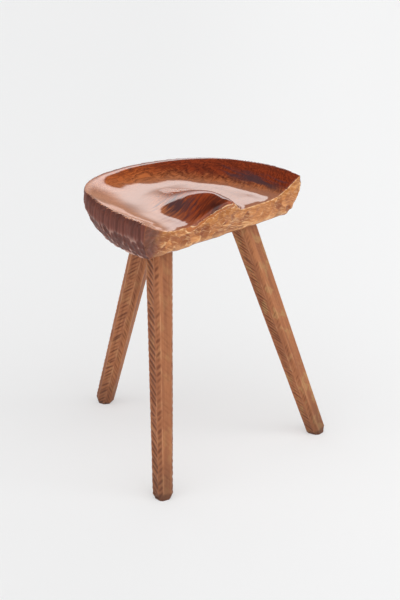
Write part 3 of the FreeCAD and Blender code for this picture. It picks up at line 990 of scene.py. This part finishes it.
def dressSeat(finish, colours):
    x, _, z = finish.axes(finish.place)
    grains = {name: finish.grain(finish.place, **plan) for name, plan in seatGrains.items()}
    fibre, flecks = grains["fibre"], grains["flecks"]
    lip, face, onFlank = (finish.attribute(name) for name in ("lip", "front", "flank"))
    onFront = face * finish.climb(lip, *frontLayers["belowLip"])
    flank = flankColour(finish, colours)
    front = frontColour(finish, colours, grains, flank)
    # Painted highlights on the ridges between the flank's scallops: where the cuts are shallow, low on
    # the flank
    scaleHighlights = finish.climb(finish.attribute("cut"), *flankLayers["scaleCut"])
    scaleHighlights = scaleHighlights * finish.climb(z, *flankLayers["scaleHeight"])
    flank = finish.mix(scaleHighlights, flank, colours["scale"])
    colour = finish.mix(onFlank, topColour(finish, colours, grains), flank)
    colour = finish.mix(onFront, colour, front)
    # Painted highlight, flecked, along the lip's upper edge
    ridgeHighlight = finish.climb(lip, *edgeHighlightLayers["ridgeFrom"]) * finish.climb(lip, *edgeHighlightLayers["ridgeTo"]) * face
    ridgeHighlight = ridgeHighlight * finish.climb(flecks, *edgeHighlightLayers["ridgeFlecks"])
    colour = finish.mix(ridgeHighlight, colour, colours["paintedHighlight"])
    # Painted highlight, flecked, along the front's upper edge beside the pommel
    paintedHighlight = onFront * (1 - onFront) * 4 * finish.climb(z, *edgeHighlightLayers["height"])
    paintedHighlight = paintedHighlight * finish.climb(x, *edgeHighlightLayers["side"]) * finish.climb(flecks, *edgeHighlightLayers["flecks"])
    colour = finish.mix(paintedHighlight, colour, colours["paintedHighlight"])
    coat = 1 - onFlank * seatGloss["onFlank"] - onFront * seatGloss["onFront"]
    rough = fibre * seatGloss["fibre"] + seatGloss["roughness"]
    finish.set(Base_Color=colour, Coat_Weight=coat, Coat_Roughness=seatGloss["coat"])
    finish.set(Roughness=rough, Specular_IOR_Level=0.0)
    finish.pores(fibre * (onFlank + onFront + seatPores["everywhere"]), seatPores["depth"])


seatFinish = Finish("seatVarnish")
dressSeat(seatFinish, seatColours)

legColours = {
    "light": (0.5, 0.185, 0.068),
    "dark": (0.26, 0.08, 0.03),
    # Dark: the stain's tint everywhere, and painted shade in the strokes' grooves
    "cut": (0.14, 0.042, 0.02),
    # Painted highlight on the ridges between strokes and along the facets' edges
    "ridgeHighlight": (0.62, 0.29, 0.15),
    "olive": (0.42, 0.24, 0.09),
    "end": (0.07, 0.03, 0.02),
}
legGrains = {
    "streak": {"lengths": (0.0065, 0.0065, 0.11), "detail": 5.0, "warp": 0.5},
    "blotch": {"lengths": (0.012, 0.012, 0.02), "detail": 2.0, "warp": 0.4},
}
# Heights are along the leg, from the floor up
legLayers = {
    "cut": (0.0002, 0.0013),
    "streak": (0.3, 0.7),
    "leftLeg": (-0.06, -0.13, 0.3),
    "lowerHalf": (0.3, 0.08, 0.25),
    "olive": (0.52, 0.66),
    "oliveSide": (0.05, 0.09, 0.45),
    # Where the painted highlight along the facets' edges shows
    "crest": (0.35, 0.6, 0.6),
    "foot": (0.1, 0.0, 0.45),
    "footEdge": (0.011, 0.004, 0.5),
}
legShares = {"stain": 0.1, "olive": 0.25, "ridgeHighlight": 0.15, "cut": 0.8}
legGloss = {"roughness": 0.6, "streak": 0.2, "specular": 0.25, "pores": 0.00025}


def dressLegs(finish, colours):
    layers, shares = legLayers, legShares
    along = finish.attribute("along", "Vector")
    ownZ = finish.axes(along)[2]
    x = finish.axes(finish.place)[0]
    streak, blotch = (finish.grain(along, **legGrains[name]) for name in ("streak", "blotch"))
    cut = finish.climb(finish.attribute("cut"), *layers["cut"])
    colour = finish.mix(finish.climb(streak, *layers["streak"]), colours["dark"], colours["light"])
    colour = finish.mix(finish.climb(x, *layers["leftLeg"]), colour, colours["dark"])
    colour = finish.mix(shares["stain"], colour, colours["cut"])
    colour = finish.mix(finish.climb(ownZ, *layers["lowerHalf"]), colour, colours["dark"])
    olive = finish.climb(x, *layers["oliveSide"]) + shares["olive"]
    colour = finish.mix(finish.climb(blotch, *layers["olive"]) * olive, colour, colours["olive"])
    # Painted highlight on the ridges between strokes, painted shade in their grooves
    colour = finish.mix((1 - cut) * shares["ridgeHighlight"], colour, colours["ridgeHighlight"])
    colour = finish.mix(cut * shares["cut"], colour, colours["cut"])
    # Painted highlight along the facets' edges, in blotches
    crest = finish.attribute("crest") * finish.climb(blotch, *layers["crest"])
    colour = finish.mix(crest, colour, colours["ridgeHighlight"])
    # Darker towards the floor, most on the bevel at the foot
    for name in ("foot", "footEdge"):
        colour = finish.mix(finish.climb(ownZ, *layers[name]), colour, colours["end"])
    rough = legGloss["roughness"] - streak * legGloss["streak"]
    finish.set(Base_Color=colour, Roughness=rough, Specular_IOR_Level=legGloss["specular"])
    finish.pores(streak, legGloss["pores"])


legFinish = Finish("legWood")
dressLegs(legFinish, legColours)

wedgeLook = {
    "lengths": (0.0025, 0.0025, 0.017),
    "dark": (0.35, 0.2, 0.1),
    "light": (0.55, 0.36, 0.2),
    "roughness": 0.7,
    "streak": 0.2,
    "pores": 0.0001,
}


def dressWedges(finish, look):
    streak = finish.grain(finish.place, look["lengths"], detail=4.0)
    colour = finish.mix(streak, look["dark"], look["light"])
    finish.set(Base_Color=colour, Roughness=look["roughness"] - streak * look["streak"])
    finish.pores(streak, look["pores"])


wedgeFinish = Finish("wedgeWood")
dressWedges(wedgeFinish, wedgeLook)

addPiece("seat_dressed", carvedSeat(seatSizes), seatFinish, "seat")
print("seat carved")
for legName, legPlan in legPlaces.items():
    addPiece(legName + "_dressed", carvedLeg(legName, legPlan, legSizes), legFinish, legName)
print("legs carved")
for wedgeName in ("wedge_front_left", "wedge_front_right", "wedge_back"):
    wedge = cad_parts[wedgeName]
    wedge.data.materials.clear()
    wedge.data.materials.append(wedgeFinish.made)
print("wedges finished")


# Stage: a pale floor, a backdrop that is brightest behind the stool, a soft canopy over the camera's
# side and a soft key light at the right
stageSizes = {
    "floorRadius": 12.0,
    "floorColour": (0.86, 0.863, 0.867),
    "floorRough": 0.9,
    "floorGlow": 0.42,  # share of the floor that the camera sees without its shadows
    # The glow is brighter towards the right: painted light falling from the right
    "glowEnds": (-0.15, 0.5),  # from the picture's left to its right
    "glowLevels": (0.86, 0.97),
    "rightSide": (0.723, -0.691, 0.0),  # straight to the camera's right
    "farSide": (0.691, 0.723, 0.0),  # straight away from the camera
    "horizon": 0.3,  # brightness on the far side, where the backdrop starts
    "backdrop": 3.1,  # and at its upper end
    "riseFrom": 0.05,
    "riseSide": (-0.1, 0.85),
    "fill": 1.05,  # brightness of the room behind the camera
    "backdropTop": (0.485, 0.537),  # sines of the heights between which it ends
    "ceiling": 0.1,
    "canopy": 1.45,
    "canopyEdge": (-0.15, 0.32),
    "key": {"place": (1.64, -2.22, 2.16), "aim": (0.0, 0.0, 0.2), "width": 1.0, "watts": 6.0},
}


# How far a place lies in a direction
def towards(finish, direction):
    sockets = {0: finish.place, 1: direction}
    return finish.node("VectorMath", {"operation": "DOT_PRODUCT"}, sockets, output="Value")


def dressWorld(sizes):
    finish = Finish("studio", "worlds", "Background", "Generated")
    up, far = towards(finish, (0, 0, 1)), towards(finish, sizes["farSide"])
    low, high = sizes["backdropTop"]
    over = finish.climb(up, low, high)
    near = 1 - finish.climb(far, *sizes["canopyEdge"])
    rise = finish.climb(up, sizes["riseFrom"], low) * finish.climb(far, *sizes["riseSide"])
    backdrop = rise * (sizes["backdrop"] - sizes["horizon"]) + sizes["horizon"]
    backdrop = near * sizes["fill"] + (1 - near) * backdrop
    ceiling = near * (sizes["canopy"] - sizes["ceiling"]) + sizes["ceiling"]
    finish.set(Strength=(1 - over) * backdrop + over * ceiling, Color=(1.0, 1.0, 1.0))
    bpy.context.scene.world = finish.made


dressWorld(stageSizes)


def dressPaper(finish, sizes):
    finish.set(Base_Color=sizes["floorColour"], Roughness=sizes["floorRough"], Specular_IOR_Level=0.0)
    seen = finish.node("LightPath", output="Is Camera Ray") * sizes["floorGlow"]
    # Painted light: the glow rises towards the right
    left, right = ((level, level, level) for level in sizes["glowLevels"])
    across = finish.climb(towards(finish, sizes["rightSide"]), *sizes["glowEnds"])
    glow = finish.node("Emission", {}, {"Color": finish.mix(across, left, right)}, "Emission")
    lit = Wire(finish, finish.shader.outputs[0])
    both = finish.node("MixShader", {}, {0: seen, 1: lit, 2: glow}, "Shader")
    finish.feed(finish.tree.nodes["Material Output"].inputs["Surface"], both)


paper = Finish("floorPaper")
dressPaper(paper, stageSizes)
bm = bmesh.new()
bmesh.ops.create_circle(bm, cap_ends=True, radius=stageSizes["floorRadius"], segments=96)
floor = bpy.data.objects.new("floor", meshFrom(bm, "floor", smooth=False))
floor.data.materials.append(paper.made)
bpy.context.scene.collection.objects.link(floor)

key = stageSizes["key"]
lamp = bpy.data.objects.new("keyLight", bpy.data.lights.new("keyLight", "AREA"))
lamp.data.shape = "DISK"
lamp.data.size = key["width"]
lamp.data.energy = key["watts"]
lamp.location = key["place"]
lamp.rotation_euler = (Vector(key["place"]) - Vector(key["aim"])).to_track_quat("Z", "Y").to_euler()
bpy.context.scene.collection.objects.link(lamp)

view = {"place": (-2.3153, -2.4925, 1.6154), "aim": (0.045, -0.0234, 0.237), "lens": 132.0}
camera = bpy.data.objects.new("camera", bpy.data.cameras.new("camera"))
bpy.context.scene.collection.objects.link(camera)
camera.location = view["place"]
camera.rotation_euler = (Vector(view["aim"]) - Vector(view["place"])).to_track_quat("-Z", "Y").to_euler()
camera.data.lens = view["lens"]
bpy.context.scene.camera = camera
bpy.context.scene.view_settings.view_transform = "Standard"
print("stage set")
